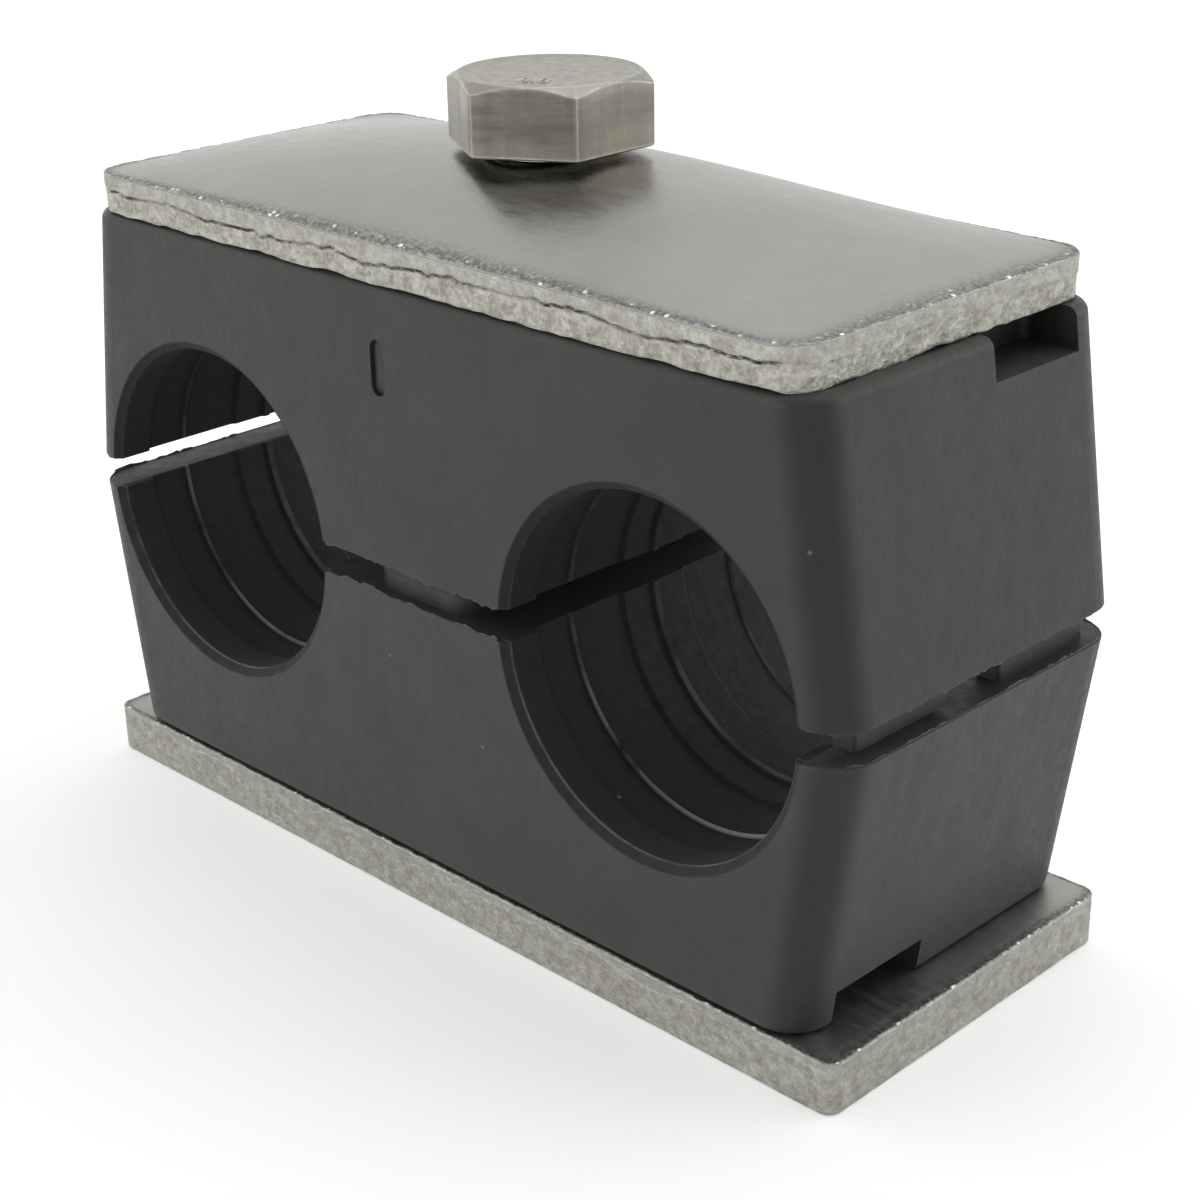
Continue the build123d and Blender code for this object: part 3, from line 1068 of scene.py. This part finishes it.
def build_floor(settings):
    """Pale paper floor just under the clamp."""
    half = settings.floor_side / 2
    corners = [(-half, -half, 0), (half, -half, 0), (half, half, 0), (-half, half, 0)]
    mesh = bpy.data.meshes.new("floor")
    mesh.from_pydata(corners, [], [(0, 1, 2, 3)])
    floor = bpy.data.objects.new("floor", mesh)
    floor.location.z = cad_bounds[0][2] - 0.02 * MM
    bpy.context.scene.collection.objects.link(floor)
    material, tree, shader = new_material("floor_paper")
    shader.inputs["Base Color"].default_value = (*settings.floor_colour, 1.0)
    shader.inputs["Roughness"].default_value = 0.9
    shader.inputs["Specular IOR Level"].default_value = 0.1
    paper_glow = math_node(tree, "MULTIPLY", background_rays(tree), settings.floor_glow)
    tree.links.new(paper_glow, shader.inputs["Emission Strength"])
    shader.inputs["Emission Color"].default_value = (1.0, 1.0, 1.0, 1.0)
    mesh.materials.append(material)


def build_world(settings):
    """Soft room, bright behind the object and dim in front of it, and white where it is seen."""
    world = bpy.data.worlds.new("soft_room")
    bpy.context.scene.world = world
    world.use_nodes = True
    sky = world.node_tree
    sky.nodes.clear()
    direction = add_node(sky, "ShaderNodeTexCoord").outputs["Generated"]
    toward_front = (0.66, -0.66, 0.30)
    fade = {
        "Value": vector_node(sky, "DOT_PRODUCT", direction, toward_front)["Value"],
        "From Min": -0.10,
        "From Max": 0.85,
        "To Min": settings.sky_far,
        "To Max": settings.sky_near,
    }
    level = add_node(sky, "ShaderNodeMapRange", fade, interpolation_type="SMOOTHSTEP").outputs[0]
    level = math_node(sky, "MAXIMUM", level, background_rays(sky))
    warm_white = (1.0, 0.995, 0.985, 1.0)
    glow = add_node(sky, "ShaderNodeBackground", {"Color": warm_white, "Strength": level})
    add_node(sky, "ShaderNodeOutputWorld", {"Surface": glow.outputs[0]})


def area_lamp(name, place, target, width, height, power):
    """Soft rectangular lamp that faces a target."""
    lamp = bpy.data.lights.new(name, "AREA")
    lamp.shape = "RECTANGLE"
    lamp.size, lamp.size_y = width, height
    lamp.energy = power
    holder = bpy.data.objects.new(name, lamp)
    holder.location = place
    holder.rotation_euler = (Vector(target) - Vector(place)).to_track_quat("-Z", "Y").to_euler()
    bpy.context.scene.collection.objects.link(holder)


def camera_matrix():
    """Place of the camera: azimuth, elevation and a slight roll."""
    azimuth, elevation, roll = math.radians(44.952), math.radians(23.639), math.radians(-0.963)
    place = Vector((113.893, -110.129, 87.982)) * MM
    back = Vector(
        (
            math.sin(azimuth) * math.cos(elevation),
            -math.cos(azimuth) * math.cos(elevation),
            math.sin(elevation),
        )
    )
    right = Vector((math.cos(azimuth), math.sin(azimuth), 0.0))
    up = back.cross(right)
    level_right = math.cos(roll) * right + math.sin(roll) * up
    level_up = -math.sin(roll) * right + math.cos(roll) * up
    matrix = Matrix((level_right, level_up, back)).transposed().to_4x4()
    matrix.translation = place
    return matrix


def build_camera():
    data = bpy.data.cameras.new("camera")
    data.sensor_fit = "HORIZONTAL"
    data.sensor_width = 36.0
    data.lens = 68.47
    data.shift_x, data.shift_y = 0.0009, 0.0139
    data.clip_start, data.clip_end = 0.005, 200.0
    camera = bpy.data.objects.new("camera", data)
    camera.matrix_world = camera_matrix()
    bpy.context.scene.collection.objects.link(camera)
    bpy.context.scene.camera = camera


class CLAMP_OT_stage(bpy.types.Operator):
    """Set up the floor, lamps, world and camera"""

    bl_idname = "tube_clamp.stage"
    bl_label = "Stage"

    def execute(self, context):
        settings = context.scene.tube_clamp_stage
        build_floor(settings)
        build_world(settings)
        share = settings.lamp_level
        area_lamp("left_lamp", (-1.0, -0.1, 0.30), (0, 0, 0.03), 0.9, 0.5, 1.2 * share)
        area_lamp("front_lamp", (-0.35, -1.0, 0.22), (0, 0, 0.02), 0.9, 0.4, 1.8 * share)
        area_lamp("right_lamp", (0.6, 0.8, 0.35), (0, 0, 0.03), 0.9, 0.5, 2.0 * share)
        area_lamp("top_lamp", (0.1, 0.2, 1.1), (0, 0, 0.03), 1.0, 1.0, 2.5 * share)
        build_camera()
        context.scene.view_settings.view_transform = "Standard"
        return {"FINISHED"}


class CLAMP_PT_panel(bpy.types.Panel):
    """Lists the pieces of the clamp and its stage"""

    bl_idname = "CLAMP_PT_panel"
    bl_label = "Twin Tube Clamp"
    bl_space_type = "VIEW_3D"
    bl_region_type = "UI"
    bl_category = SIDEBAR_TAB

    def draw(self, context):
        for group in (context.scene.tube_clamp, context.scene.tube_clamp_stage):
            box = self.layout.box()
            for name in group.__annotations__:
                box.prop(group, name)
        for operator in OPERATORS:
            self.layout.operator(operator.bl_idname)


OPERATORS = (
    CLAMP_OT_moulded_halves,
    CLAMP_OT_cover_sheet,
    CLAMP_OT_base_sheet,
    CLAMP_OT_clamp_bolt,
    CLAMP_OT_stage,
)
CLASSES = (ClampSettings, StageSettings, *OPERATORS, CLAMP_PT_panel)


def register():
    for cls in CLASSES:
        bpy.utils.register_class(cls)
    bpy.types.Scene.tube_clamp = PointerProperty(type=ClampSettings)
    bpy.types.Scene.tube_clamp_stage = PointerProperty(type=StageSettings)


def unregister():
    del bpy.types.Scene.tube_clamp_stage
    del bpy.types.Scene.tube_clamp
    for cls in reversed(CLASSES):
        bpy.utils.unregister_class(cls)


def main():
    register()
    bpy.ops.tube_clamp.moulded_halves()
    bpy.ops.tube_clamp.cover_sheet()
    bpy.ops.tube_clamp.base_sheet()
    bpy.ops.tube_clamp.clamp_bolt()
    bpy.ops.tube_clamp.stage()


if __name__ == "__main__":
    main()
